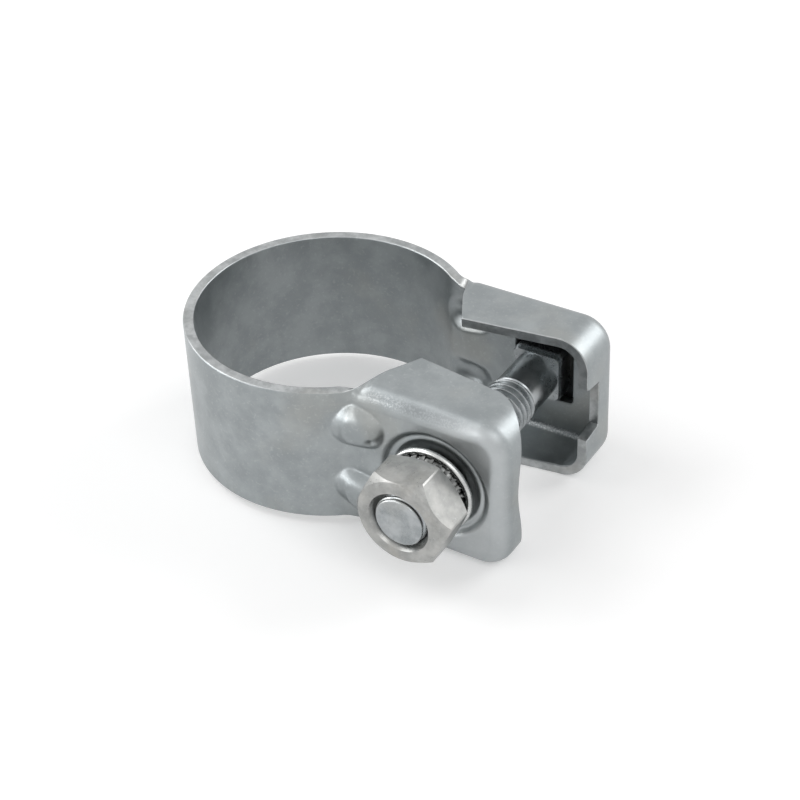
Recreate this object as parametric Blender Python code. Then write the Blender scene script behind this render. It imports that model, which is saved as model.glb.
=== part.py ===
# Exhaust band clamp: a pressed steel band whose two ears are drawn into open
# trays and pulled together by a carriage bolt, a serrated washer and a nut.
#
# The pipe axis is Z. The ears point to +X and the bolt runs along Y: its head
# is behind the rear ear (+Y) and its nut is on the front ear (-Y).
# All shapes are drawn about the pipe axis at the band's mid height, and the
# whole part is then placed with the centre of its base at the origin.

import math

import bmesh
import bpy
from mathutils import Vector

MM = 0.001

# Band
BORE_RADIUS = 25.0 * MM
SHEET = 2.0 * MM
BAND_HEIGHT = 28.0 * MM

# Ears: how they stand off the band, and where their bolt and tip are
EAR_STEP_IN = 6.0 * MM
EAR_FLARE = 1.5 * MM
BOLT_FROM_BORE = 10.0 * MM
TIP_FROM_BOLT = 14.6 * MM
EAR_CORNER_RADIUS = 6.0 * MM
BEND_RADIUS = 3.2 * MM
VALLEY_RADIUS = 5.0 * MM

# Flanges: straight past the pipe, then slanted outward to the tip
PIPE_GAP = 0.2 * MM
PIPE_SIDE_ANGLE = math.radians(28.8)
FLANGE_WIDTH = 12.5 * MM
FLANGE_SLANT = math.radians(7.9)
BAND_LIP = 0.3 * MM

# Tip walls: low and waved on the nut's ear, tall and notched on the other
WAVE_RUN = 2.6 * MM
WAVE_HEIGHT = 5.8 * MM
WAVE_DIP = 1.2 * MM
NOTCH_WALL = 6.6 * MM
NOTCH_HALF_HEIGHT = 4.9 * MM
NOTCH_SLOPE = 0.9 * MM

# Stiffening darts pressed across the bend between band and ear
DART_HEIGHT = 1.9 * MM
DART_HALF_LENGTH = 5.6 * MM
DART_HALF_WIDTH = 4.5 * MM
DART_MARGIN = 0.4 * MM
DART_SHIFT = 2.7 * MM
DART_POWER = 1.8

# Bolt, its rolled thread standing proud of its shank, and its holes
THREAD_RADIUS = 4.95 * MM
THREAD_SHOULDER = 0.3 * MM
NECK_SHOULDER = 0.35 * MM
NECK_CORNER = 1.2 * MM
NECK_PAST_SHEET = 2.0 * MM
PLAIN_LENGTH = 8.8 * MM
BOLT_POINT = 0.9 * MM
HEAD_OVER_HOLE = 5.15 * MM
HEAD_HEIGHT = 5.2 * MM
HEAD_RIM = 1.2 * MM
SQUARE_HOLE_CLEARANCE = 0.85 * MM
SQUARE_HOLE_CORNER = 0.9 * MM
ROUND_HOLE_CLEARANCE = 0.75 * MM

# Dished seat pressed round the nut's hole, almost out to the ear's bends
SEAT_MARGIN = 0.2 * MM
SEAT_DEPTH = 1.9 * MM

# Serrated washer, dished to match its seat
WASHER_PAST_NUT = 0.1 * MM
WASHER_CONTACT = 0.9 * MM
WASHER_STAND_OFF = 0.6 * MM
WASHER_RIM = 1.3 * MM
WASHER_RIM_ROUND = 0.35 * MM
WASHER_CROWN = 1.05 * MM
WASHER_CROWN_HEIGHT = 1.8 * MM
TOOTH_COUNT = 26
TOOTH_DEPTH = 0.4 * MM

# Hexagon nut
NUT_WALL = 3.25 * MM
NUT_HEIGHT = 8.0 * MM
NUT_FACE_INSET = 0.15 * MM
NUT_FACE_SLOPE = math.radians(50)
NUT_BACK_SLOPE = math.radians(30)
NUT_COUNTERSINK = 0.45 * MM
NUT_TURNED = math.radians(5.0)

# Gaps between pieces that touch, and between pieces that turn on each other
SEAT_GAP = 0.3 * MM
RUNNING_GAP = 0.3 * MM

# Facets
BAND_STEPS = 46
DART_STEPS = 4
VALLEY_STEPS = 4
PIPE_SIDE_STEPS = 4
PIPE_CORNER_STEPS = 2
PATCH_STEPS = 64
SEAT_STEPS = 4
SKIRT_STEPS = 2
BEND_STEPS = 4
CORNER_STEPS = 6
DOME_STEPS = 6
BOLT_SIDES = 40
NUT_SIDES = 48
TOOTH_STEPS = 2

# Places of the ears, and of the middle of their sheet
HALF_SHEET = SHEET / 2
BAND_RADIUS = BORE_RADIUS + SHEET
RING_RADIUS = BORE_RADIUS + HALF_SHEET
EAR_OUTER_Y = BAND_RADIUS - EAR_STEP_IN
EAR_HEIGHT = BAND_HEIGHT + 2 * EAR_FLARE
BOLT_X = BORE_RADIUS + BOLT_FROM_BORE
EAR_TIP_X = BOLT_X + TIP_FROM_BOLT
WEB_Y = EAR_OUTER_Y - HALF_SHEET
FOLD_RADIUS = BEND_RADIUS - HALF_SHEET
WALL_Y = WEB_Y - FOLD_RADIUS
WEB_HALF = EAR_HEIGHT / 2 - BEND_RADIUS
WEB_CORNER = EAR_CORNER_RADIUS - BEND_RADIUS
CORNER_X = EAR_TIP_X - EAR_CORNER_RADIUS
CORNER_Z = EAR_HEIGHT / 2 - EAR_CORNER_RADIUS

# The valley arc touches the ring and the ear's web
VALLEY_Y = EAR_OUTER_Y + VALLEY_RADIUS
VALLEY_X = math.sqrt((BAND_RADIUS + VALLEY_RADIUS) ** 2 - VALLEY_Y ** 2)
VALLEY_TURN = math.acos(VALLEY_Y / (BAND_RADIUS + VALLEY_RADIUS))
TOUCH_ANGLE = math.pi / 2 - VALLEY_TURN
HALF_VALLEY = (VALLEY_RADIUS + HALF_SHEET) * VALLEY_TURN / 2
DART_REACH = DART_HALF_LENGTH - DART_SHIFT - HALF_VALLEY
FIRST_ANGLE = TOUCH_ANGLE + (DART_REACH + HALF_SHEET) / RING_RADIUS

# The flange's two straight edges meet at a corner, and the web's patch round
# the bolt starts a little nearer the pipe than that corner
PIPE_SIDE = BORE_RADIUS + PIPE_GAP
SIDE_SLOPE = math.tan(FLANGE_SLANT)
SIDE_START_Y = EAR_OUTER_Y - FLANGE_WIDTH - BOLT_X * SIDE_SLOPE
SIDE_CORNER_X = ((PIPE_SIDE - SIDE_START_Y * math.sin(PIPE_SIDE_ANGLE))
                 / (math.cos(PIPE_SIDE_ANGLE) + SIDE_SLOPE * math.sin(PIPE_SIDE_ANGLE)))
PATCH_X = SIDE_CORNER_X - SHEET
PATCH_ROWS = PATCH_STEPS // 4
TRAY_STATIONS = PATCH_STEPS * 3 // 8
DART_CENTRE_Z = WEB_HALF - DART_MARGIN - DART_HALF_WIDTH

# The seat is part of a sphere, which the washer's back follows
SEAT_RADIUS = min(WEB_HALF, TIP_FROM_BOLT - BEND_RADIUS, BOLT_X - PATCH_X) - SEAT_MARGIN
SEAT_SPHERE = (SEAT_RADIUS ** 2 + SEAT_DEPTH ** 2) / (2 * SEAT_DEPTH)

# Radii round the bolt's axis
SHANK_RADIUS = THREAD_RADIUS - THREAD_SHOULDER
NECK_HALF = SHANK_RADIUS + NECK_SHOULDER
SQUARE_HOLE_HALF = NECK_HALF + SQUARE_HOLE_CLEARANCE
HEAD_RADIUS = SQUARE_HOLE_HALF + HEAD_OVER_HOLE
ROUND_HOLE_RADIUS = THREAD_RADIUS + ROUND_HOLE_CLEARANCE
THREADED_BORE_RADIUS = THREAD_RADIUS + RUNNING_GAP
NUT_HALF = THREADED_BORE_RADIUS + NUT_WALL
NUT_FACE_RADIUS = NUT_HALF - NUT_FACE_INSET
WASHER_RADIUS = NUT_HALF + WASHER_PAST_NUT
WASHER_CONTACT_RADIUS = ROUND_HOLE_RADIUS + WASHER_CONTACT
WASHER_CROWN_RADIUS = THREADED_BORE_RADIUS + WASHER_CROWN

# Stations along the bolt
HEAD_SEAT_Y = EAR_OUTER_Y + SEAT_GAP
HEAD_TOP_Y = HEAD_SEAT_Y + HEAD_HEIGHT
NECK_END_Y = EAR_OUTER_Y - SHEET - NECK_PAST_SHEET
THREAD_START_Y = NECK_END_Y - PLAIN_LENGTH
WASHER_BACK_Y = -EAR_OUTER_Y - WASHER_STAND_OFF
WASHER_FACE_Y = WASHER_BACK_Y - WASHER_RIM
WASHER_CROWN_Y = WASHER_FACE_Y - WASHER_CROWN_HEIGHT
NUT_BACK_Y = WASHER_CROWN_Y - RUNNING_GAP
NUT_FACE_Y = NUT_BACK_Y - NUT_HEIGHT
BOLT_END_Y = NUT_FACE_Y

# Directions, the bolt's axis, and the base centre that becomes the origin
UP = Vector((0, 0, 1))
INWARD = Vector((0, -1, 0))
BOLT_AXIS = Vector((BOLT_X, 0, 0))
BASE_CENTRE = Vector((
    (EAR_TIP_X - BAND_RADIUS) / 2,
    (max(BAND_RADIUS, HEAD_TOP_Y) + BOLT_END_Y) / 2,
    -EAR_HEIGHT / 2,
))


def material(name, colour, roughness):
    made = bpy.data.materials.new(name)
    made.use_nodes = True
    shader = made.node_tree.nodes["Principled BSDF"]
    shader.inputs["Base Color"].default_value = (*colour, 1.0)
    shader.inputs["Metallic"].default_value = 1.0
    shader.inputs["Roughness"].default_value = roughness
    return made


def place(name, bm, origin, finish):
    """Make a named object from a mesh drawn about the pipe axis."""
    bmesh.ops.remove_doubles(bm, verts=bm.verts, dist=MM / 1000)
    bmesh.ops.recalc_face_normals(bm, faces=bm.faces)
    bmesh.ops.translate(bm, verts=bm.verts, vec=-origin)
    mesh = bpy.data.meshes.new(name)
    bm.to_mesh(mesh)
    bm.free()
    mesh.materials.append(finish)
    mesh.shade_smooth()
    mesh.set_sharp_from_angle(angle=math.radians(30))
    made = bpy.data.objects.new(name, mesh)
    made.location = origin - BASE_CENTRE
    bpy.context.collection.objects.link(made)
    return made


def skin(bm, rows, closed=False):
    """Faces between neighbouring rows of points."""
    made = [[bm.verts.new(point) for point in row] for row in rows]
    if closed:
        made.append(made[0])
    for near, far in zip(made, made[1:]):
        for a, b, c, d in zip(near, near[1:], far[1:], far):
            bm.faces.new((a, b, c, d))


def smooth_step(value):
    value = min(max(value, 0.0), 1.0)
    return value * value * (3 - 2 * value)


def rounded_square(angle, half, corner):
    """Distance from the centre to the edge of a square with rounded corners."""
    turn = abs((angle + math.pi / 4) % (math.pi / 2) - math.pi / 4)
    flat = half / math.cos(turn)
    if flat * math.sin(turn) <= half - corner:
        return flat
    centre = (half - corner) * math.sqrt(2)
    aside = math.pi / 4 - turn
    return centre * math.cos(aside) + math.sqrt(corner ** 2 - (centre * math.sin(aside)) ** 2)


# Band and ears, drawn for the rear ear: the front ear has its y reversed

def dart_rise(distance, z):
    """How far a dart stands out, at a distance from the middle of the valley."""
    along = abs(distance - DART_SHIFT) / DART_HALF_LENGTH
    across = abs(abs(z) - DART_CENTRE_Z) / DART_HALF_WIDTH
    inside = 1 - along ** DART_POWER - across ** DART_POWER
    return DART_HEIGHT * max(inside, 0.0)


def seat_depth(radius):
    """Depth of the dished seat below the ear's outer face."""
    return math.sqrt(SEAT_SPHERE ** 2 - radius ** 2) - (SEAT_SPHERE - SEAT_DEPTH)


def flange_edge_y(x):
    """Where a flange ends, seen from above."""
    beside_pipe = (PIPE_SIDE - x * math.cos(PIPE_SIDE_ANGLE)) / math.sin(PIPE_SIDE_ANGLE)
    return max(beside_pipe, SIDE_START_Y + x * SIDE_SLOPE)


def tip_edge_y(x, z, turn, notched):
    """Where the wall round the ear's tip ends, at a turn round its corner."""
    if notched:
        past_notch = min(max((z - NOTCH_HALF_HEIGHT) / NOTCH_SLOPE, 0.0), 1.0)
        flange = flange_edge_y(min(x, CORNER_X))
        notch = EAR_OUTER_Y - NOTCH_WALL
        return notch + (flange - notch) * past_notch
    wave = EAR_OUTER_Y - WAVE_HEIGHT
    if turn == 0.0:
        return wave + WAVE_DIP * smooth_step(1 - z / CORNER_Z)
    length = WAVE_RUN + EAR_CORNER_RADIUS * math.pi / 2
    along = length - EAR_CORNER_RADIUS * turn - max(CORNER_X - x, 0.0)
    flange = flange_edge_y(min(x, CORNER_X - WAVE_RUN))
    return flange + (wave - flange) * smooth_step(along / length)


def fold(start, outward, inward, curl, lip):
    """Points along a bend that leaves the sheet's edge, and along its lip.

    A curl of 0 goes straight on to the band's edge, and 1 is a full bend.
    """
    turn = curl * math.pi / 2
    straight = BAND_HEIGHT / 2 - WEB_HALF - BAND_LIP
    length = straight + (FOLD_RADIUS * math.pi / 2 - straight) * curl ** 2
    points = []
    for step in range(1, BEND_STEPS + 1):
        angle = turn * step / BEND_STEPS
        forward = length * step / BEND_STEPS
        aside = 0.0
        if turn:
            forward = length / turn * math.sin(angle)
            aside = length / turn * (1 - math.cos(angle))
        points.append(start + outward * forward + inward * aside)
    points.append(points[-1] + (outward * math.cos(turn) + inward * math.sin(turn)) * lip)
    return points


def ear_stations():
    """Plan points from the ring to the patch: where, normal, distance, curl."""
    stations = []
    for step in range(DART_STEPS):
        angle = FIRST_ANGLE + (TOUCH_ANGLE - FIRST_ANGLE) * step / DART_STEPS
        outward = Vector((math.cos(angle), math.sin(angle), 0))
        distance = -HALF_VALLEY - RING_RADIUS * (angle - TOUCH_ANGLE)
        stations.append((outward * RING_RADIUS, outward, distance, 0.0))
    for step in range(VALLEY_STEPS + 1):
        part = step / VALLEY_STEPS
        angle = VALLEY_TURN * (1 - part)
        outward = Vector((math.sin(angle), math.cos(angle), 0))
        base = Vector((VALLEY_X, VALLEY_Y, 0)) - outward * (VALLEY_RADIUS + HALF_SHEET)
        stations.append((base, outward, HALF_VALLEY * (2 * part - 1), smooth_step(2 * part - 1)))
    for step in range(1, PIPE_SIDE_STEPS + 1):
        x = VALLEY_X + (PATCH_X - VALLEY_X) * step / PIPE_SIDE_STEPS
        stations.append((Vector((x, WEB_Y, 0)), -INWARD, HALF_VALLEY + x - VALLEY_X, 1.0))
    return stations


def ear_columns():
    """Upright rows of points, from the lower lip to the upper one."""
    columns = []
    for base, outward, distance, curl in ear_stations():
        web = []
        for row in range(PATCH_ROWS + 1):
            z = WEB_HALF * (2 * row / PATCH_ROWS - 1)
            web.append(base + outward * dart_rise(distance, z) + UP * z)
        lip = BAND_LIP
        if distance > HALF_VALLEY:
            lip = max(WALL_Y - flange_edge_y(base.x), BAND_LIP)
        top = fold(web[-1], UP, -outward, curl, lip)
        low = fold(web[0], -UP, -outward, curl, lip)
        columns.append(low[::-1] + web + top)
    return columns


def tray_places():
    """The upper half of the web's outline, from mid tip to the patch's corner."""
    places = []
    for z in (0.0, NOTCH_HALF_HEIGHT / 2, NOTCH_HALF_HEIGHT, NOTCH_HALF_HEIGHT + NOTCH_SLOPE):
        places.append((EAR_TIP_X - BEND_RADIUS, z, 0.0))
    for step in range(CORNER_STEPS + 1):
        turn = math.pi / 2 * step / CORNER_STEPS
        x = CORNER_X + WEB_CORNER * math.cos(turn)
        places.append((x, CORNER_Z + WEB_CORNER * math.sin(turn), turn))
    slanted = TRAY_STATIONS + 1 - len(places) - PIPE_CORNER_STEPS
    for step in range(1, slanted + 1):
        x = CORNER_X + (SIDE_CORNER_X - CORNER_X) * step / slanted
        places.append((x, WEB_HALF, math.pi / 2))
    for step in range(1, PIPE_CORNER_STEPS + 1):
        x = SIDE_CORNER_X + (PATCH_X - SIDE_CORNER_X) * step / PIPE_CORNER_STEPS
        places.append((x, WEB_HALF, math.pi / 2))
    return places


def tray_stations(notched):
    """Points round the web's patch, with the direction and end of their wall."""
    upper = []
    for x, z, turn in tray_places():
        outward = Vector((math.cos(turn), 0, math.sin(turn)))
        edge = tip_edge_y(x + BEND_RADIUS * math.cos(turn), z, turn, notched)
        upper.append((Vector((x, WEB_Y, z)), outward, edge))
    side = []
    for row in range(1, PATCH_ROWS):
        z = WEB_HALF * (1 - 2 * row / PATCH_ROWS)
        side.append((Vector((PATCH_X, WEB_Y, z)), None, None))
    lower = []
    mirror = Vector((1, 1, -1))
    for point, outward, edge in upper[:0:-1]:
        lower.append((point * mirror, outward * mirror, edge))
    return upper + side + lower


def tray_sections(notched):
    """Rows of points from the bolt's hole out to the wall's edge."""
    sections = []
    centre = BOLT_AXIS - INWARD * WEB_Y
    for edge_point, outward, edge in tray_stations(notched):
        across = edge_point - centre
        angle = math.atan2(across.z, across.x)
        across.normalize()
        hole = ROUND_HOLE_RADIUS
        if notched:
            hole = rounded_square(angle, SQUARE_HOLE_HALF, SQUARE_HOLE_CORNER)
        row = []
        for step in range(SEAT_STEPS + 1):
            radius = hole + (SEAT_RADIUS - hole) * step / SEAT_STEPS
            depth = 0.0 if notched else seat_depth(radius)
            row.append(centre + across * radius + INWARD * depth)
        rim = row[-1]
        for step in range(1, SKIRT_STEPS + 1):
            point = rim.lerp(edge_point, step / SKIRT_STEPS)
            row.append(point - INWARD * dart_rise(HALF_VALLEY + point.x - VALLEY_X, point.z))
        if outward is not None:
            row += fold(row[-1], outward, INWARD, 1.0, WALL_Y - edge)
        sections.append(row)
    return sections


def build_band(finish):
    bm = bmesh.new()
    columns = ear_columns()
    web_points = SEAT_STEPS + SKIRT_STEPS + 1
    for side, notched in ((1, True), (-1, False)):
        mirror = Vector((1, side, 1))
        skin(bm, [[point * mirror for point in column] for column in columns])
        sections = [[point * mirror for point in row] for row in tray_sections(notched)]
        skin(bm, [row[:web_points] for row in sections], closed=True)
        walls = [row[web_points - 1:] for row in sections]
        skin(bm, walls[:TRAY_STATIONS + 1])
        skin(bm, walls[-TRAY_STATIONS:] + walls[:1])

    rear = columns[0]
    front = [point * Vector((1, -1, 1)) for point in rear]
    ring = [rear]
    for step in range(1, BAND_STEPS):
        angle = FIRST_ANGLE + 2 * (math.pi - FIRST_ANGLE) * step / BAND_STEPS
        base = Vector((math.cos(angle), math.sin(angle), 0)) * RING_RADIUS
        ring.append([base - UP * BAND_HEIGHT / 2, base + UP * BAND_HEIGHT / 2])
    ring.append(front)
    ring = [[bm.verts.new(point) for point in column] for column in ring]
    for near, far in zip(ring, ring[1:]):
        bm.faces.new(near + far[::-1])

    band = place("clamp_band", bm, Vector(), finish)
    sheet = band.modifiers.new("sheet", "SOLIDIFY")
    sheet.thickness = SHEET
    sheet.offset = 0
    sheet.use_even_offset = True
    return band


# Pieces turned about the bolt's axis, from profiles of radius and y

def revolve(bm, profile, sides, shape, turned=0.0):
    """Spin a profile about the bolt's axis, reshaped at each angle."""
    rows = []
    for side in range(sides):
        angle = turned + 2 * math.pi * side / sides
        row = []
        for index in range(len(profile)):
            radius, y = shape(index, *profile[index], angle)
            row.append(Vector((BOLT_X + radius * math.cos(angle), y, radius * math.sin(angle))))
        rows.append(row)
    skin(bm, rows, closed=True)


def build_bolt(finish):
    bm = bmesh.new()
    profile = []
    for step in range(1, DOME_STEPS + 1):
        angle = math.pi / 2 * step / DOME_STEPS
        rise = HEAD_RIM + (HEAD_HEIGHT - HEAD_RIM) * math.cos(angle)
        profile.append((HEAD_RADIUS * math.sin(angle), HEAD_SEAT_Y + rise))
    profile.append((HEAD_RADIUS, HEAD_SEAT_Y))
    neck = (len(profile), len(profile) + 1)
    profile += [
        (NECK_HALF, HEAD_SEAT_Y),
        (NECK_HALF, NECK_END_Y),
        (SHANK_RADIUS, NECK_END_Y),
        (SHANK_RADIUS, THREAD_START_Y),
        (THREAD_RADIUS, THREAD_START_Y - THREAD_SHOULDER),
        (THREAD_RADIUS, BOLT_END_Y + BOLT_POINT),
        (THREAD_RADIUS - BOLT_POINT, BOLT_END_Y),
    ]

    def squared(index, radius, y, angle):
        if index in neck:
            radius = rounded_square(angle, radius, NECK_CORNER)
        return radius, y

    revolve(bm, profile, BOLT_SIDES, squared)
    bmesh.ops.remove_doubles(bm, verts=bm.verts, dist=MM / 1000)
    bmesh.ops.holes_fill(bm, edges=bm.edges)
    return place("carriage_bolt", bm, BOLT_AXIS, finish)


def build_washer(finish):
    bm = bmesh.new()
    seated = []
    for radius in (THREADED_BORE_RADIUS, WASHER_CONTACT_RADIUS):
        seated.append((radius, seat_depth(radius) - EAR_OUTER_Y - SEAT_GAP))
    rim = WASHER_RADIUS - WASHER_RIM_ROUND
    profile = seated + [
        (rim, WASHER_BACK_Y),
        (WASHER_RADIUS, WASHER_BACK_Y - WASHER_RIM_ROUND),
        (WASHER_RADIUS, WASHER_FACE_Y + WASHER_RIM_ROUND),
        (rim, WASHER_FACE_Y),
        (WASHER_CROWN_RADIUS, WASHER_CROWN_Y),
        (THREADED_BORE_RADIUS, WASHER_CROWN_Y),
        seated[0],
    ]
    toothed = (5, 6)

    def serrated(index, radius, y, angle):
        if index in toothed:
            y += TOOTH_DEPTH * (1 - math.cos(angle * TOOTH_COUNT)) / 2
        return radius, y

    revolve(bm, profile, TOOTH_COUNT * TOOTH_STEPS, serrated)
    return place("lock_washer", bm, BOLT_AXIS, finish)


def build_nut(finish):
    bm = bmesh.new()
    mouth = THREADED_BORE_RADIUS + NUT_COUNTERSINK
    profile = [
        (THREADED_BORE_RADIUS, NUT_BACK_Y - NUT_COUNTERSINK),
        (mouth, NUT_BACK_Y),
        (NUT_FACE_RADIUS, NUT_BACK_Y),
        (NUT_HALF, NUT_BACK_Y),
        (NUT_HALF, NUT_FACE_Y),
        (NUT_FACE_RADIUS, NUT_FACE_Y),
        (mouth, NUT_FACE_Y),
        (THREADED_BORE_RADIUS, NUT_FACE_Y + NUT_COUNTERSINK),
        (THREADED_BORE_RADIUS, NUT_BACK_Y - NUT_COUNTERSINK),
    ]
    back, face = 3, 4

    def hexagonal(index, radius, y, angle):
        if index in (back, face):
            turn = (angle - NUT_TURNED) % (math.pi / 3) - math.pi / 6
            radius = NUT_HALF / math.cos(turn)
        if index == back:
            y -= (radius - NUT_FACE_RADIUS) * math.tan(NUT_BACK_SLOPE)
        if index == face:
            y += (radius - NUT_FACE_RADIUS) * math.tan(NUT_FACE_SLOPE)
        return radius, y

    revolve(bm, profile, NUT_SIDES, hexagonal, NUT_TURNED)
    return place("hex_nut", bm, BOLT_AXIS, finish)


def main():
    for old in list(bpy.data.objects):
        bpy.data.objects.remove(old)
    build_band(material("zinc_plated_sheet", (0.50, 0.52, 0.55), 0.38))
    build_bolt(material("zinc_plated_bolt", (0.55, 0.55, 0.56), 0.35))
    build_washer(material("bright_washer", (0.68, 0.68, 0.68), 0.28))
    build_nut(material("bright_nut", (0.70, 0.69, 0.67), 0.30))


main()
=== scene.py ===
import math

import bmesh
import bpy
from mathutils import Matrix, Vector


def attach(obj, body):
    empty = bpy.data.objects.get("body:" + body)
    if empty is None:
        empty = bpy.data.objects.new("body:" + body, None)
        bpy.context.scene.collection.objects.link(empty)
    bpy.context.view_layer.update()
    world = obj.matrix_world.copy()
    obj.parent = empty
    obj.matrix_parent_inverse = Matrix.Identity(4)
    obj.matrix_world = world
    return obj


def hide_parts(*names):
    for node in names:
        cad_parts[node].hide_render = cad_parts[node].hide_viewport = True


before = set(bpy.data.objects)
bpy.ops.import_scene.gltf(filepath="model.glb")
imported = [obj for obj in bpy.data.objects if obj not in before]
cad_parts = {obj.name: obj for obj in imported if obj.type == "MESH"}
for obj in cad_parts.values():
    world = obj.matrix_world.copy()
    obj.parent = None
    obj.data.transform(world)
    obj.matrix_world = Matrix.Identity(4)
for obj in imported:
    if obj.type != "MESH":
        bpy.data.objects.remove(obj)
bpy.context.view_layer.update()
print("frame loaded")

# Shapes are drawn in millimetres about the pipe's axis at the band's mid height: ears towards +X,
# the bolt along Y with its head at +Y. toRow then takes them to the part's own origin.
toRow = Matrix.Translation((-0.0113, 0.003, 0.0155)) @ Matrix.Scale(0.001, 4)
up = Vector((0, 0, 1))
inward = Vector((0, -1, 0))  # from the rear ear's web to the bolt's middle
weldGap = 0.001  # points nearer than this are one


# Node wiring

class Wire:
    def __init__(self, tree, socket):
        self.tree = tree
        self.socket = socket

    def math(self, operation, first, second=None, clamp=False):
        node = self.tree.nodes.new("ShaderNodeMath")
        node.operation = operation
        node.use_clamp = clamp
        plug(self.tree, node.inputs[0], first)
        if second is not None:
            plug(self.tree, node.inputs[1], second)
        return Wire(self.tree, node.outputs[0])

    def __add__(self, other):
        return self.math("ADD", self, other)

    def __radd__(self, other):
        return self.math("ADD", other, self)

    def __sub__(self, other):
        return self.math("SUBTRACT", self, other)

    def __rsub__(self, other):
        return self.math("SUBTRACT", other, self)

    def __mul__(self, other):
        return self.math("MULTIPLY", self, other)

    def __rmul__(self, other):
        return self.math("MULTIPLY", other, self)

    def __truediv__(self, other):
        return self.math("DIVIDE", self, other)

    def __rtruediv__(self, other):
        return self.math("DIVIDE", other, self)

    def least(self, other):
        return self.math("MINIMUM", self, other)

    def most(self, other):
        return self.math("MAXIMUM", self, other)

    def held(self):
        return self.math("ADD", self, 0.0, clamp=True)  # kept between 0 and 1

    def side(self, out):
        return Wire(self.tree, self.socket.node.outputs[out])  # another output of the same node


def plug(tree, socket, value):
    if isinstance(value, Wire):
        tree.links.new(value.socket, socket)
    elif isinstance(value, (tuple, list)) and len(value) == 3 and socket.type == "RGBA":
        socket.default_value = (*value, 1.0)
    else:
        socket.default_value = value


class NodeTable:
    def __init__(self, tree):
        self.tree = tree

    def make(self, kind, settings=None, values=None, out=0):
        node = self.tree.nodes.new(kind)
        for name, setting in (settings or {}).items():
            setattr(node, name, setting)
        for name, value in (values or {}).items():
            plug(self.tree, node.inputs[name], value)
        if len(node.outputs) == 0:
            return None
        return Wire(self.tree, node.outputs[out])

    def blend(self, amount, first, second):
        return self.make(
            "ShaderNodeMix", {"data_type": "RGBA"}, {0: amount, 6: first, 7: second}, out=2)

    def stretch(self, value, low, high):
        return self.make(
            "ShaderNodeMapRange", {"interpolation_type": "SMOOTHSTEP"},
            {"Value": value, "From Min": low, "From Max": high})

    def noise(self, vector, scale, detail, roughness):
        return self.make(
            "ShaderNodeTexNoise", None,
            {"Vector": vector, "Scale": scale, "Detail": detail, "Roughness": roughness})


# Zinc finishes

sheetLook = {
    "dark": (0.285, 0.308, 0.316), "light": (0.362, 0.386, 0.394), "warm": (0.392, 0.386, 0.352),
    "rubbedAndSheen": (0.680, 0.700, 0.710), "cloudScale": 170.0, "patchScale": 60.0, "warmShare": 0.35,
    "grainScale": 2600.0, "roughness": 0.37, "grainRoughness": 0.16,
    "bumpDepth": 0.000035, "bumpStrength": 0.50,
}
shearedLook = {
    "dark": (0.300, 0.315, 0.318), "light": (0.480, 0.495, 0.500), "warm": (0.430, 0.415, 0.380),
    "rubbedAndSheen": (0.640, 0.655, 0.670), "cloudScale": 420.0, "patchScale": 90.0, "warmShare": 0.25,
    "grainScale": 2600.0, "roughness": 0.34, "grainRoughness": 0.16,
    "bumpDepth": 0.000040, "bumpStrength": 0.60,
}
boltLook = {
    "dark": (0.290, 0.312, 0.322), "light": (0.440, 0.460, 0.470), "warm": (0.420, 0.410, 0.370),
    "rubbedAndSheen": (0.640, 0.655, 0.670), "cloudScale": 260.0, "patchScale": 110.0, "warmShare": 0.25,
    "grainScale": 2600.0, "roughness": 0.27, "grainRoughness": 0.14,
    "bumpDepth": 0.000018, "bumpStrength": 0.40,
}
# Painted shade: near-black zinc for the bolt head's underside
headShadeLook = {
    "dark": (0.020, 0.022, 0.024), "light": (0.060, 0.064, 0.066), "warm": (0.060, 0.055, 0.045),
    "rubbedAndSheen": (0.200, 0.210, 0.215), "cloudScale": 260.0, "patchScale": 110.0, "warmShare": 0.25,
    "grainScale": 2600.0, "roughness": 0.55, "grainRoughness": 0.14,
    "bumpDepth": 0.000018, "bumpStrength": 0.40,
}
# Painted shade: the serrations' zinc is coloured dark for the shade deep among the teeth
teethShadeLook = {
    "dark": (0.100, 0.105, 0.105), "light": (0.300, 0.305, 0.300), "warm": (0.230, 0.220, 0.190),
    "rubbedAndSheen": (0.640, 0.655, 0.670), "cloudScale": 620.0, "patchScale": 200.0, "warmShare": 0.25,
    "grainScale": 2800.0, "roughness": 0.22, "grainRoughness": 0.10,
    "bumpDepth": 0.000012, "bumpStrength": 0.35,
}
washerLook = {
    "dark": (0.480, 0.490, 0.485), "light": (0.640, 0.650, 0.640), "warm": (0.560, 0.545, 0.500),
    "rubbedAndSheen": (0.640, 0.655, 0.670), "cloudScale": 380.0, "patchScale": 130.0, "warmShare": 0.25,
    "grainScale": 2800.0, "roughness": 0.24, "grainRoughness": 0.12,
    "bumpDepth": 0.000012, "bumpStrength": 0.35,
}
# The nut's turned rings lie about its axis, in metres from the part's origin
nutLook = {
    "dark": (0.300, 0.305, 0.298), "light": (0.430, 0.430, 0.418), "warm": (0.430, 0.410, 0.365),
    "rubbedAndSheen": (0.640, 0.655, 0.670), "cloudScale": 300.0, "patchScale": 120.0, "warmShare": 0.40,
    "grainScale": 2400.0, "roughness": 0.30, "grainRoughness": 0.18,
    "bumpDepth": 0.000022, "bumpStrength": 0.50,
    "turnedAbout": (0.0237, 0.0, 0.0155), "turnedScale": 5200.0, "turnedHeight": 0.40,
    "turnedRoughness": 0.10,
}
# What all the finishes share: where each pattern starts and is full, and how much it shows
zincPattern = {
    "drift": (0.31, 0.17, 0.53), "clouds": (0.32, 0.70), "patches": (0.52, 0.72),
    "speckles": (0.56, 0.74), "speckleScale": 0.60, "speckleShare": 0.14, "cloudRoughness": 0.05,
    "grainHeight": 0.6, "cloudHeight": 0.15, "speckleHeight": 0.4,
}
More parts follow.
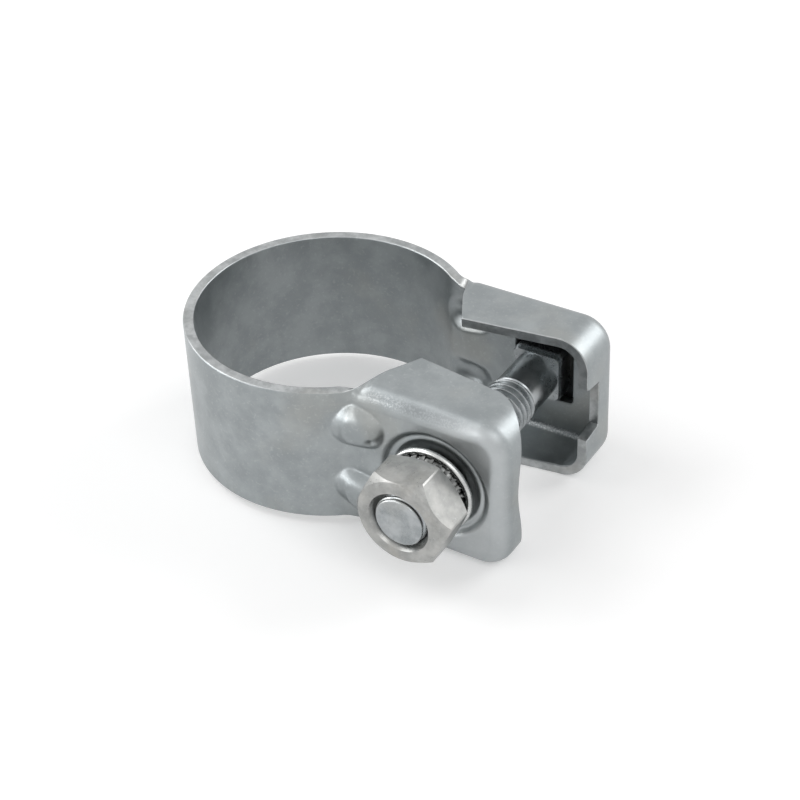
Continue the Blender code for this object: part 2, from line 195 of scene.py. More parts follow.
# Wear and painted shade along the sheet's bends, with painted highlight in the rubbed specks and
# painted light on the web past the nut; their places in metres along the ear (X) or across it (Y)
bendWearAndShade = {
    "onBend": (0.58, 0.84), "shadeBesideBend": (0.05, 0.30), "shadeBesideShare": 0.30,
    "wornShade": (0.205, 0.221, 0.228), "wornShadeShare": 0.80, "dulledShadeShare": 0.10,
    "crumbs": (0.48, 0.62), "crumbScale": 1.05, "crumbShare": 0.36, "crumbLoss": 0.70,
    "plainTo": 0.0090, "rubbedFrom": 0.0115, "rubbedTo": 0.0140, "dulledTo": 0.0270, "fade": 0.006,
    "plainShare": 0.85, "nutSide": 0.002, "web": (-0.0175, -0.0155), "paintedWebLight": (0.017, 0.031),
    "paintedWebLightShare": 0.34, "wornRoughness": 0.04, "dulledRoughness": 0.42, "crumbGloss": 0.10,
    "crumbHeight": 1.6,
}


def wornAndShadedBends(table, look, spot, drift, colour, roughness, height):
    wear = bendWearAndShade
    bend = table.make("ShaderNodeAttribute", {"attribute_name": "bend"}, out="Fac")
    grit = table.noise(drift, look["grainScale"] * wear["crumbScale"], 2.0, 0.7)
    crumbs = table.stretch(grit, *wear["crumbs"])
    alongEar = table.make("ShaderNodeSeparateXYZ", None, {0: spot})
    fromNut = alongEar.side(1)

    def passed(place):
        return table.stretch(alongEar, place, place + wear["fade"])

    # The nut's ear is plain at the ring, then rubbed bright with a painted highlight, then dulled and
    # darkened with painted shade, and plain at its tip
    nutSide = 1 - table.stretch(fromNut, -wear["nutSide"], wear["nutSide"])
    dulled = passed(wear["rubbedTo"]) * nutSide
    plain = passed(wear["dulledTo"]) * nutSide
    plain = plain.most(1 - table.stretch(alongEar, wear["plainTo"], wear["rubbedFrom"]))
    onBend = table.stretch(bend, *wear["onBend"]) * (1 - plain * wear["plainShare"])
    shadeBesideBend = table.stretch(bend, *wear["shadeBesideBend"]) * (1 - onBend)
    wornShade = onBend * (wear["wornShadeShare"] + dulled * wear["dulledShadeShare"])
    rubbedAndSheen = onBend * crumbs * wear["crumbShare"] * (1 - dulled * wear["crumbLoss"])
    # Painted light: round and past the nut the web is coloured a little paler
    onWeb = 1 - table.stretch(fromNut, *wear["web"])
    paintedWebLight = table.stretch(alongEar, *wear["paintedWebLight"]) * onWeb * wear["paintedWebLightShare"]
    # Painted shade: the bend and a band beside it are coloured darker; the rubbed specks are burnish
    # that also paints the bend's highlight
    colour = table.blend(shadeBesideBend * wear["shadeBesideShare"], colour, look["dark"])
    colour = table.blend(wornShade, colour, wear["wornShade"])
    colour = table.blend(rubbedAndSheen, colour, look["rubbedAndSheen"])
    colour = table.blend(paintedWebLight, colour, look["rubbedAndSheen"])
    rougher = wear["wornRoughness"] + dulled * wear["dulledRoughness"] - crumbs * wear["crumbGloss"]
    return colour, roughness + onBend * rougher, height + onBend * crumbs * wear["crumbHeight"]


def turnedLines(table, look, spot, roughness, height):
    # Fine rings round the nut's own axis
    axis = tuple(-part for part in look["turnedAbout"])
    centred = table.make("ShaderNodeMapping", None, {"Vector": spot, "Location": axis})
    flat = table.make(
        "ShaderNodeVectorMath", {"operation": "MULTIPLY"}, {0: centred, 1: (1.0, 0.0, 1.0)})
    radius = table.make("ShaderNodeVectorMath", {"operation": "LENGTH"}, {0: flat}, out="Value")
    lines = table.make(
        "ShaderNodeTexNoise", {"noise_dimensions": "1D"},
        {"W": radius, "Scale": look["turnedScale"], "Detail": 2.0}, out="Fac")
    roughness = roughness + (lines - 0.5) * look["turnedRoughness"]
    return roughness, height + lines * look["turnedHeight"]


def zincFinish(name, look, bendsWornAndShaded=False):
    made = bpy.data.materials.new(name)
    made.use_nodes = True
    made.node_tree.nodes.clear()
    table = NodeTable(made.node_tree)
    pattern = zincPattern
    spot = table.make("ShaderNodeTexCoord", out="Object")
    drift = table.make(
        "ShaderNodeVectorMath", {"operation": "ADD"}, {0: spot, 1: pattern["drift"]})
    clouds = table.stretch(table.noise(spot, look["cloudScale"], 4.0, 0.62), *pattern["clouds"])
    patches = table.stretch(table.noise(drift, look["patchScale"], 3.0, 0.5), *pattern["patches"])
    grain = table.noise(spot, look["grainScale"], 3.0, 0.7)
    dots = table.noise(drift, look["grainScale"] * pattern["speckleScale"], 2.0, 0.6)
    speckle = table.stretch(dots, *pattern["speckles"])

    colour = table.blend(clouds, look["dark"], look["light"])
    colour = table.blend(patches * look["warmShare"], colour, look["warm"])
    colour = table.blend(speckle * pattern["speckleShare"], colour, look["rubbedAndSheen"])
    roughness = look["roughness"] + (grain - 0.5) * look["grainRoughness"]
    roughness = roughness + clouds * pattern["cloudRoughness"]
    height = grain * pattern["grainHeight"] + clouds * pattern["cloudHeight"]
    height = height + speckle * pattern["speckleHeight"]
    if bendsWornAndShaded:
        colour, roughness, height = wornAndShadedBends(table, look, spot, drift, colour, roughness, height)
    if "turnedAbout" in look:
        roughness, height = turnedLines(table, look, spot, roughness, height)
    bumps = table.make(
        "ShaderNodeBump", None,
        {"Strength": look["bumpStrength"], "Distance": look["bumpDepth"], "Height": height})
    shader = table.make(
        "ShaderNodeBsdfPrincipled", None,
        {"Base Color": colour, "Metallic": 1.0, "Roughness": roughness, "Normal": bumps})
    table.make("ShaderNodeOutputMaterial", None, {"Surface": shader})
    return made


zincSheet = zincFinish("zincSheet", sheetLook, bendsWornAndShaded=True)
shearedEdge = zincFinish("shearedEdge", shearedLook)
zincBolt = zincFinish("zincBolt", boltLook)
paintedShadeZinc = zincFinish("paintedShadeZinc", headShadeLook)
brightWasher = zincFinish("brightWasher", washerLook)
teethInPaintedShade = zincFinish("teethInPaintedShade", teethShadeLook)
brightNut = zincFinish("brightNut", nutLook)
print("finishes made")


# Shared mesh work

def finishPiece(name, bm, finishes, body, node, sharpAngle):
    bmesh.ops.remove_doubles(bm, verts=bm.verts, dist=weldGap)
    bmesh.ops.recalc_face_normals(bm, faces=bm.faces)
    bmesh.ops.transform(bm, matrix=toRow, verts=bm.verts)
    mesh = bpy.data.meshes.new(name)
    bm.to_mesh(mesh)
    bm.free()
    for finish in finishes:
        mesh.materials.append(finish)
    mesh.shade_smooth()
    mesh.set_sharp_from_angle(angle=math.radians(sharpAngle))
    piece = bpy.data.objects.new(name, mesh)
    bpy.context.collection.objects.link(piece)
    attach(piece, body)
    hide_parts(node)
    return piece


def skin(bm, rows, closed=False):
    made = [[bm.verts.new(point) for point in row] for row in rows]
    if closed:
        made.append(made[0])
    for near, far in zip(made, made[1:]):
        for a, b, c, d in zip(near, near[1:], far[1:], far):
            bm.faces.new((a, b, c, d))


def smoothStep(value):
    value = min(max(value, 0.0), 1.0)
    return value * value * (3 - 2 * value)


def roundedSquare(angle, half, corner):
    turn = abs((angle + math.pi / 4) % (math.pi / 2) - math.pi / 4)
    flat = half / math.cos(turn)
    if flat * math.sin(turn) <= half - corner:
        return flat
    centre = (half - corner) * math.sqrt(2)
    aside = math.pi / 4 - turn
    return centre * math.cos(aside) + math.sqrt(corner ** 2 - (centre * math.sin(aside)) ** 2)


# Clamp band: one pressed sheet, drawn as pairs of points on its outer and inner face

band = {
    "bore": 25.0, "sheet": 2.0, "height": 28.0, "edgeRound": 0.18, "ringColumns": 168,
    "stepIn": 6.0, "flare": 1.5, "boltFromBore": 10.0, "tipFromBolt": 14.6,
    "cornerRadius": 6.0, "bendRadius": 3.2, "valleyRadius": 5.0, "lip": 0.3,
    "pipeGap": 0.2, "pipeSideAngle": 28.8, "flangeWidth": 12.5, "flangeSlant": 7.9,
    "curlFrom": -0.8, "curlRun": 5.6, "flareRun": 5.0, "sharpAngle": 50,
}
tipWalls = {
    "waveRun": 2.6, "waveHeight": 5.8, "waveDip": 1.2,
    "notchWall": 6.6, "notchHalfHeight": 4.9, "notchSlope": 0.9,
}
# A dart's outline runs from the valley's middle along the ear, and up from the band's mid height
darts = {
    "height": 2.35, "crown": 0.55, "domeLength": 6.0, "domeWidth": 5.4, "middle": (2.8, 6.6),
    "wall": 2.6, "power": 2.2, "hollowWall": 3.4, "softened": 1.6, "softenShare": 0.9,
    "softenSpots": 8, "curveSteps": 4, "reach": -3.1,
    "dimple": (6.2, 5.9), "dimpleSize": 1.0, "dimpleDepth": 0.75,
    "outline": (
        (2.2, 12.1), (4.4, 11.5), (6.3, 10.7), (7.7, 9.7), (8.4, 8.4), (8.3, 6.8), (7.6, 4.9),
        (6.1, 3.6), (3.0, 2.9), (0.3, 2.7), (-1.3, 3.2), (-2.5, 4.3), (-3.05, 5.5), (-3.0, 7.0),
        (-2.4, 8.7), (-1.4, 9.9), (-0.2, 10.9), (1.0, 11.6),
    ),
}
holes = {"squareHalf": 6.1, "squareCorner": 0.9, "squareShift": 0.7, "round": 5.7,
         "seatMargin": 0.2, "seatDepth": 1.9}
seat = {"depth": 1.3, "floorRadius": 9.6, "rimRadius": 11.1, "backShift": 0.7, "roll": 0.44,
        "rollRadius": 9.1, "rollWidth": 1.15}
steps = {"dart": 14, "valley": 14, "pipeSide": 14, "patch": 384, "seat": 16, "skirt": 12,
         "bend": 7, "corner": 18, "pipeCorner": 12, "notch": 6}
bendMarks = {"full": 0.42, "softening": 4, "margin": 0.3, "shortest": 0.1}

halfSheet = band["sheet"] / 2
bandRadius = band["bore"] + band["sheet"]
ringRadius = band["bore"] + halfSheet
earOuterY = bandRadius - band["stepIn"]
earHalf = band["height"] / 2 + band["flare"]
boltX = band["bore"] + band["boltFromBore"]
tipX = boltX + band["tipFromBolt"]
webY = earOuterY - halfSheet
foldRadius = band["bendRadius"] - halfSheet
wallY = webY - foldRadius
webHalf = earHalf - band["bendRadius"]
webCorner = band["cornerRadius"] - band["bendRadius"]
cornerX = tipX - band["cornerRadius"]
cornerZ = earHalf - band["cornerRadius"]
valleyY = earOuterY + band["valleyRadius"]
valleyX = math.sqrt((bandRadius + band["valleyRadius"]) ** 2 - valleyY ** 2)
valleyTurn = math.acos(valleyY / (bandRadius + band["valleyRadius"]))
touchAngle = math.pi / 2 - valleyTurn
halfValley = (band["valleyRadius"] + halfSheet) * valleyTurn / 2
firstAngle = touchAngle + (halfSheet - halfValley - darts["reach"]) / ringRadius
pipeSide = band["bore"] + band["pipeGap"]
pipeAngle = math.radians(band["pipeSideAngle"])
sideSlope = math.tan(math.radians(band["flangeSlant"]))
sideStartY = earOuterY - band["flangeWidth"] - boltX * sideSlope
sideCornerX = ((pipeSide - sideStartY * math.sin(pipeAngle))
               / (math.cos(pipeAngle) + sideSlope * math.sin(pipeAngle)))
patchX = sideCornerX - band["sheet"]
patchRows = steps["patch"] // 4
trayCount = steps["patch"] * 3 // 8
seatRoom = min(webHalf, band["tipFromBolt"] - band["bendRadius"], boltX - patchX)
seatRadius = seatRoom - holes["seatMargin"]
seatSphere = (seatRadius ** 2 + holes["seatDepth"] ** 2) / (2 * holes["seatDepth"])


def dartOutline():
    # A smooth line through the outline's points, with its cusp kept
    points = [Vector(point) for point in darts["outline"]]
    line = []
    for index, near in enumerate(points):
        before = points[index - 1]
        far = points[(index + 1) % len(points)]
        after = points[(index + 2) % len(points)]
        out = Vector((0, 0)) if index == 0 else (far - before) / 2
        into = Vector((0, 0)) if index == len(points) - 1 else (after - near) / 2
        for step in range(darts["curveSteps"]):
            part = step / darts["curveSteps"]
            line.append(near + (far - near) * smoothStep(part) + out * part * (1 - part) ** 2
                        - into * part ** 2 * (1 - part))
    return line


dartLine = dartOutline()
dartEnds = [(min(axis), max(axis)) for axis in zip(*dartLine)]


def dartDepth(distance, z):
    # How far inside a dart's outline a point lies, or 0 outside it
    spot = Vector((distance, abs(z)))
    if not all(low < place < high for place, (low, high) in zip(spot, dartEnds)):
        return 0.0
    inside = False
    nearest = math.inf
    for near, far in zip(dartLine, dartLine[1:] + dartLine[:1]):
        if (near.y > spot.y) != (far.y > spot.y):
            if spot.x < near.x + (far.x - near.x) * (spot.y - near.y) / (far.y - near.y):
                inside = not inside
        along = far - near
        part = min(max((spot - near).dot(along) / along.length_squared, 0.0), 1.0)
        nearest = min(nearest, (near + along * part - spot).length_squared)
    return math.sqrt(nearest) if inside else 0.0


def dartRises(distance, z):
    # A dome with a creased wall outside, and a softer hollow inside
    deep = dartDepth(distance, z)
    if deep == 0.0:
        return 0.0, 0.0
    reach = min(deep * darts["softenShare"], darts["softened"])
    spots = darts["softenSpots"]
    for turn in range(spots):
        angle = 2 * math.pi * turn / spots
        deep += dartDepth(distance + reach * math.cos(angle), abs(z) + reach * math.sin(angle))
    deep /= spots + 1
    away = Vector(((distance - darts["middle"][0]) / darts["domeLength"],
                   (abs(z) - darts["middle"][1]) / darts["domeWidth"])).length_squared
    dome = darts["height"] * (1 - darts["crown"] * away)
    climb = 1 - max(1 - deep / darts["wall"], 0.0) ** darts["power"]
    dent = (Vector((distance, abs(z))) - Vector(darts["dimple"])).length / darts["dimpleSize"]
    outside = dome * climb - darts["dimpleDepth"] * smoothStep(1 - dent)
    return outside, dome * smoothStep(deep / darts["hollowWall"])


def washerSeat(radius):
    # The dished face that the washer's back follows
    return math.sqrt(seatSphere ** 2 - radius ** 2) - (seatSphere - holes["seatDepth"])


def seatDrop(radius):
    past = (radius - seat["floorRadius"]) / (seat["rimRadius"] - seat["floorRadius"])
    roll = smoothStep(1 - abs(radius - seat["rollRadius"]) / seat["rollWidth"])
    return seat["depth"] * (1 - smoothStep(past)) - seat["roll"] * roll


def flangeEdgeY(x):
    besidePipe = (pipeSide - x * math.cos(pipeAngle)) / math.sin(pipeAngle)
    return max(besidePipe, sideStartY + x * sideSlope)


def tipEdgeY(x, z, turn, notched):
    if notched:
        pastNotch = smoothStep((z - tipWalls["notchHalfHeight"]) / tipWalls["notchSlope"])
        notch = earOuterY - tipWalls["notchWall"]
        return notch + (flangeEdgeY(min(x, cornerX)) - notch) * pastNotch
    wave = earOuterY - tipWalls["waveHeight"]
    if turn == 0.0:
        return wave + tipWalls["waveDip"] * smoothStep(1 - z / cornerZ)
    length = tipWalls["waveRun"] + band["cornerRadius"] * math.pi / 2
    along = length - band["cornerRadius"] * turn - max(cornerX - x, 0.0)
    flange = flangeEdgeY(min(x, cornerX - tipWalls["waveRun"]))
    return flange + (wave - flange) * smoothStep(along / length)


def facePair(middle, normal, outside=0.0, inside=0.0):
    return middle + normal * (halfSheet + outside), middle + normal * (inside - halfSheet)


def fold(start, outward, turned, curl, lip, top):
    # A bend off the sheet's edge: curl 0 goes straight on, and 1 is a full bend
    turn = curl * math.pi / 2
    bent = turn > 0.001
    length = top - webHalf - lip
    if bent:
        length = turn * ((top - webHalf - lip * math.cos(turn)) / math.sin(turn) - halfSheet)
    pairs = []
    for step in range(1, steps["bend"] + 1):
        angle = turn * step / steps["bend"]
        forward = length * step / steps["bend"]
        aside = 0.0
        if bent:
            forward = length / turn * math.sin(angle)
            aside = length / turn * (1 - math.cos(angle))
        normal = outward * math.sin(angle) - turned * math.cos(angle)
        pairs.append(facePair(start + outward * forward + turned * aside, normal))
    straight = (outward * math.cos(turn) + turned * math.sin(turn)) * lip
    pairs.append(tuple(point + straight for point in pairs[-1]))
    return pairs


def earColumns():
    stations = []
    for step in range(steps["dart"]):
        angle = firstAngle + (touchAngle - firstAngle) * step / steps["dart"]
        outward = Vector((math.cos(angle), math.sin(angle), 0))
        distance = -halfValley - ringRadius * (angle - touchAngle)
        stations.append((outward * ringRadius, outward, distance))
    for step in range(steps["valley"] + 1):
        part = step / steps["valley"]
        angle = valleyTurn * (1 - part)
        outward = Vector((math.sin(angle), math.cos(angle), 0))
        base = Vector((valleyX, valleyY, 0)) - outward * (band["valleyRadius"] + halfSheet)
        stations.append((base, outward, halfValley * (2 * part - 1)))
    for step in range(1, steps["pipeSide"] + 1):
        x = valleyX + (patchX - valleyX) * step / steps["pipeSide"]
        stations.append((Vector((x, webY, 0)), -inward, halfValley + x - valleyX))
    columns = []
    for base, outward, distance in stations:
        web = []
        for row in range(patchRows + 1):
            z = webHalf * (2 * row / patchRows - 1)
            web.append(facePair(base + up * z, outward, *dartRises(distance, z)))
        lip = band["lip"]
        if distance > halfValley:
            lip = max(wallY - flangeEdgeY(base.x), lip)
        curl = smoothStep((distance - band["curlFrom"]) / band["curlRun"])
        flare = smoothStep((distance - band["curlFrom"]) / band["flareRun"])
        top = band["height"] / 2 + band["flare"] * flare
        upper = fold(base + up * webHalf, up, -outward, curl, lip, top)
        lower = fold(base - up * webHalf, -up, -outward, curl, lip, top)
        columns.append(lower[::-1] + web + upper)
    return columns


def trayPlaces():
    low = tipWalls["notchHalfHeight"]
    slope = tipWalls["notchSlope"]
    heights = [low * part for part in (0.0, 0.25, 0.5, 0.75, 0.9)]
    heights += [low + slope * part / steps["notch"] for part in range(steps["notch"] + 1)]
    heights += [low + slope + (cornerZ - low - slope) * part for part in (0.25, 0.5, 0.75)]
    places = [(tipX - band["bendRadius"], z, 0.0) for z in heights]
    for step in range(steps["corner"] + 1):
        turn = math.pi / 2 * step / steps["corner"]
        x = cornerX + webCorner * math.cos(turn)
        places.append((x, cornerZ + webCorner * math.sin(turn), turn))
    slanted = trayCount + 1 - len(places) - steps["pipeCorner"]
    for step in range(1, slanted + 1):
        places.append((cornerX + (sideCornerX - cornerX) * step / slanted, webHalf, math.pi / 2))
    for step in range(1, steps["pipeCorner"] + 1):
        x = sideCornerX + (patchX - sideCornerX) * step / steps["pipeCorner"]
        places.append((x, webHalf, math.pi / 2))
    return places


def traySections(notched):
    upper = []
    for x, z, turn in trayPlaces():
        outward = Vector((math.cos(turn), 0, math.sin(turn)))
        edge = tipEdgeY(x + band["bendRadius"] * math.cos(turn), z, turn, notched)
        upper.append((Vector((x, webY, z)), outward, edge))
    side = []
    for row in range(1, patchRows):
        side.append((Vector((patchX, webY, webHalf * (1 - 2 * row / patchRows))), None, None))
    flip = Vector((1, 1, -1))
    lower = [(point * flip, outward * flip, edge) for point, outward, edge in upper[:0:-1]]
    centre = Vector((boltX, webY, 0))
    sections = []
    for edgePoint, outward, edge in upper + side + lower:
        across = edgePoint - centre
        angle = math.atan2(across.z, across.x)
        across.normalize()
        hole = holes["round"]
        shift = Vector()
        if notched:
            hole = roundedSquare(angle, holes["squareHalf"], holes["squareCorner"])
            shift = Vector((holes["squareShift"], 0, 0))  # the neck leans on the hole's inner side
        row = []
        for step in range(steps["seat"] + 1):
            part = step / steps["seat"]
            radius = hole + (seatRadius - hole) * part
            drops = (0.0, 0.0)
            if not notched:
                drops = (-seatDrop(radius), -seatDrop(radius + seat["backShift"]))
            row.append(facePair(centre + across * radius + shift * (1 - part), -inward, *drops))
        rim = centre + across * seatRadius
        for step in range(1, steps["skirt"] + 1):
            point = rim.lerp(edgePoint, step / steps["skirt"])
            rises = dartRises(halfValley + point.x - valleyX, point.z)
            row.append(facePair(point, -inward, *rises))
        if outward is not None:
            row += fold(edgePoint, outward, inward, 1.0, wallY - edge, earHalf)
        sections.append(row)
    return sections


def pairedSkin(bm, inner, rows, closed=False):
    made = []
    for row in rows:
        made.append([])
        for outside, inside in row:
            vert = bm.verts.new(outside)
            vert[inner] = inside
            made[-1].append(vert)
    if closed:
        made.append(made[0])
    for near, far in zip(made, made[1:]):
        for a, b, c, d in zip(near, near[1:], far[1:], far):
            bm.faces.new((a, b, c, d))
    return made


def thicken(sheet, inner):
    # Both faces of the sheet, closed by a sheared edge that has its own finish
    bm = bmesh.new()
    weight = bm.edges.layers.float.new("bevel_weight_edge")
    outside = {vert: bm.verts.new(vert.co) for vert in sheet.verts}
    inside = {vert: bm.verts.new(vert[inner]) for vert in sheet.verts}
    for face in sheet.faces:
        bm.faces.new([outside[vert] for vert in face.verts])
        bm.faces.new([inside[vert] for vert in reversed(face.verts)])
    for edge in sheet.edges:
        if len(edge.link_faces) == 1:
            a, b = edge.verts
            rim = bm.faces.new((outside[a], outside[b], inside[b], inside[a]))
            rim.material_index = 1
            for side in (bm.edges.get((outside[a], outside[b])), bm.edges.get((inside[a], inside[b]))):
                side[weight] = 1.0
    sheet.free()
    return bm


def markBends(bm):
    # How sharply the sheet is folded at each point, for the wear and painted shade along its bends
    bm.normal_update()
    bend = bm.verts.layers.float.new("bend")
    margin = bendMarks["margin"]
    for vert in bm.verts:
        pastWeb = abs(vert.co.z) > webHalf - margin
        if not pastWeb and vert.co.x <= tipX - band["bendRadius"] - margin:
            continue
        sharpest = 0.0
        for edge in vert.link_edges:
            faces = edge.link_faces
            if len(faces) != 2 or any(face.material_index for face in faces):
                continue
            a, b = faces
            apart = (a.calc_center_median() - b.calc_center_median()).length
            sharpest = max(sharpest, edge.calc_face_angle(0.0) / max(apart, bendMarks["shortest"]))
        vert[bend] = min(sharpest / bendMarks["full"], 1.0)
    for repeat in range(bendMarks["softening"]):
        softer = {}
        for vert in bm.verts:
            around = [edge.other_vert(vert)[bend] for edge in vert.link_edges]
            softer[vert] = (vert[bend] + sum(around)) / (1 + len(around))
        for vert, value in softer.items():
            vert[bend] = value


def makeBand():
    sheet = bmesh.new()
    inner = sheet.verts.layers.float_vector.new("inner")
    columns = earColumns()
    webPoints = steps["seat"] + steps["skirt"] + 1
    for side, notched in ((1, True), (-1, False)):
        mirror = Vector((1, side, 1))
        flipped = [[(a * mirror, b * mirror) for a, b in column] for column in columns]
        pairedSkin(sheet, inner, flipped)
        sections = [[(a * mirror, b * mirror) for a, b in row] for row in traySections(notched)]
        pairedSkin(sheet, inner, [row[:webPoints] for row in sections], closed=True)
        walls = [row[webPoints - 1:] for row in sections]
        pairedSkin(sheet, inner, walls[:trayCount + 1])
        pairedSkin(sheet, inner, walls[-trayCount:] + walls[:1])
    ring = [columns[0]]
    for step in range(1, band["ringColumns"]):
        angle = firstAngle + 2 * (math.pi - firstAngle) * step / band["ringColumns"]
        outward = Vector((math.cos(angle), math.sin(angle), 0))
        ring.append([facePair(outward * ringRadius + up * band["height"] / 2 * end, outward)
                     for end in (-1, 1)])
    front = Vector((1, -1, 1))
    ring.append([(a * front, b * front) for a, b in columns[0]])
    made = []
    for column in ring:
        made.append([])
        for outside, inside in column:
            vert = sheet.verts.new(outside)
            vert[inner] = inside
            made[-1].append(vert)
    for near, far in zip(made, made[1:]):
        sheet.faces.new(near + far[::-1])
    bmesh.ops.remove_doubles(sheet, verts=sheet.verts, dist=weldGap)
    bmesh.ops.recalc_face_normals(sheet, faces=sheet.faces)
    bm = thicken(sheet, inner)
    markBends(bm)
    finishes = (zincSheet, shearedEdge)
    piece = finishPiece(
        "clampBand", bm, finishes, "clamp", "clamp_band", band["sharpAngle"])
    bevel = piece.modifiers.new("shearedEdges", "BEVEL")
    bevel.width = band["edgeRound"] * 0.001
    bevel.segments = 2
    bevel.limit_method = "WEIGHT"
    bevel.use_clamp_overlap = False
    return piece


clampBand = makeBand()
print("clamp band made")


# Geometry nodes

def startNodes(name, made, inputs):
    # A tree with its named inputs, and the way to ask for one of them
    tree = bpy.data.node_groups.new(name, "GeometryNodeTree")
    tree.interface.new_socket(name=made, in_out="OUTPUT", socket_type="NodeSocketGeometry")
    for title, kind in inputs.items():
        tree.interface.new_socket(name=title, in_out="INPUT", socket_type="NodeSocket" + kind)
    table = NodeTable(tree)
    return table, table.make("NodeGroupInput").side


def endNodes(table, shape, finish):
    real = table.make("GeometryNodeRealizeInstances", None, {"Geometry": shape})
    done = table.make("GeometryNodeSetMaterial", None, {"Geometry": real, "Material": finish})
    table.make("NodeGroupOutput", None, {0: done})
    return table.tree


def bakeNodes(tree, values, move):
    mesh = bpy.data.meshes.new(tree.name)
    holder = bpy.data.objects.new(tree.name, mesh)
    bpy.context.collection.objects.link(holder)
    nodes = holder.modifiers.new(tree.name, "NODES")
    nodes.node_group = tree
    for item in tree.interface.items_tree:
        if item.in_out == "INPUT" and item.name in values:
            nodes[item.identifier] = values[item.name]
    shown = holder.evaluated_get(bpy.context.evaluated_depsgraph_get())
    baked = bpy.data.meshes.new_from_object(shown)
    baked.transform(Matrix.Translation(move))
    holder.modifiers.remove(nodes)
    bpy.data.objects.remove(holder)
    return baked


# Threads: a grid wrapped round the bolt's axis, rolled on the bolt and cut in the nut

thread = {"radius": 4.97, "depth": 0.85, "pitch": 1.5, "sides": 64, "stepsPerTurn": 16,
          "crest": 0.80, "root": 0.18, "nutClearance": 0.15}


def threadNodes(name, mouthSlope=None):
    table, given = startNodes(name, "Thread", {
        "Radius": "Float", "Depth": "Float", "Pitch": "Float", "Length": "Float",
        "Start Radius": "Float", "End Radius": "Float", "Fade": "Float",
        "Sides": "Int", "Turns": "Int", "Steps Per Turn": "Int", "Finish": "Material"})
    grid = table.make("GeometryNodeMeshGrid", None, {
        "Size X": 1.0, "Size Y": 1.0, "Vertices X": given("Sides") + 1,
        "Vertices Y": given("Turns") * given("Steps Per Turn") + 1}, out="Mesh")
    spot = table.make("GeometryNodeInputPosition")
    split = table.make("ShaderNodeSeparateXYZ", None, {0: spot})
    around = split + 0.5
    along = split.side(1) + 0.5
    pitch = given("Pitch")
    axial = along * given("Turns") * pitch + (around - 1) * pitch
    axial = axial.most(0.0).least(given("Length"))
    wave = axial.math("PINGPONG", axial / pitch - around, 0.5) * 2
    land = ((wave - thread["root"]) / (thread["crest"] - thread["root"])).held()
    radius = given("Radius") - given("Depth") + given("Depth") * land
    left = given("Length") - axial
    if mouthSlope:
        radius = radius.most(given("Start Radius") - axial * mouthSlope)
        radius = radius.most(given("End Radius") - left * mouthSlope)
    else:
        fade = (axial / given("Fade")).held()
        radius = given("Start Radius") + (radius - given("Start Radius")) * fade
        radius = radius.least(given("End Radius") + left)
    angle = around * (2 * math.pi)
    placed = table.make("ShaderNodeCombineXYZ", None, {
        "X": radius * angle.math("COSINE", angle),
        "Y": 0 - axial,
        "Z": radius * angle.math("SINE", angle)})
    wrapped = table.make("GeometryNodeSetPosition", None, {"Geometry": grid, "Position": placed})
    closed = table.make(
        "GeometryNodeMergeByDistance", None, {"Geometry": wrapped, "Distance": 2 * weldGap})
    return endNodes(table, closed, given("Finish"))


def spin(bm, profile, sides, shape, turned=0.0):
    rows = []
    for side in range(sides):
        angle = turned + 2 * math.pi * side / sides
        row = []
        for index, (radius, y) in enumerate(profile):
            radius, y = shape(index, radius, y, angle)
            row.append(Vector((boltX + radius * math.cos(angle), y, radius * math.sin(angle))))
        rows.append(row)
    skin(bm, rows, closed=True)


def asIs(index, radius, y, angle):
    return radius, y


# Carriage bolt

bolt = {"headRadius": 11.0, "headHeight": 5.2, "headRim": 1.2, "rimRound": 0.35, "headSeatY": 21.3,
        "headSteps": 16, "neckHalf": 5.0, "neckCorner": 1.2, "neckEndY": 17.0, "neckLead": 0.5,
        "neckTaper": 0.2, "shank": 4.65, "threadY": 8.2, "endY": -33.0, "point": 0.2, "fade": 0.9,
        "endDish": 0.10, "endRound": 0.45, "endSteps": 5, "underside": 0.1, "sharpAngle": 32}


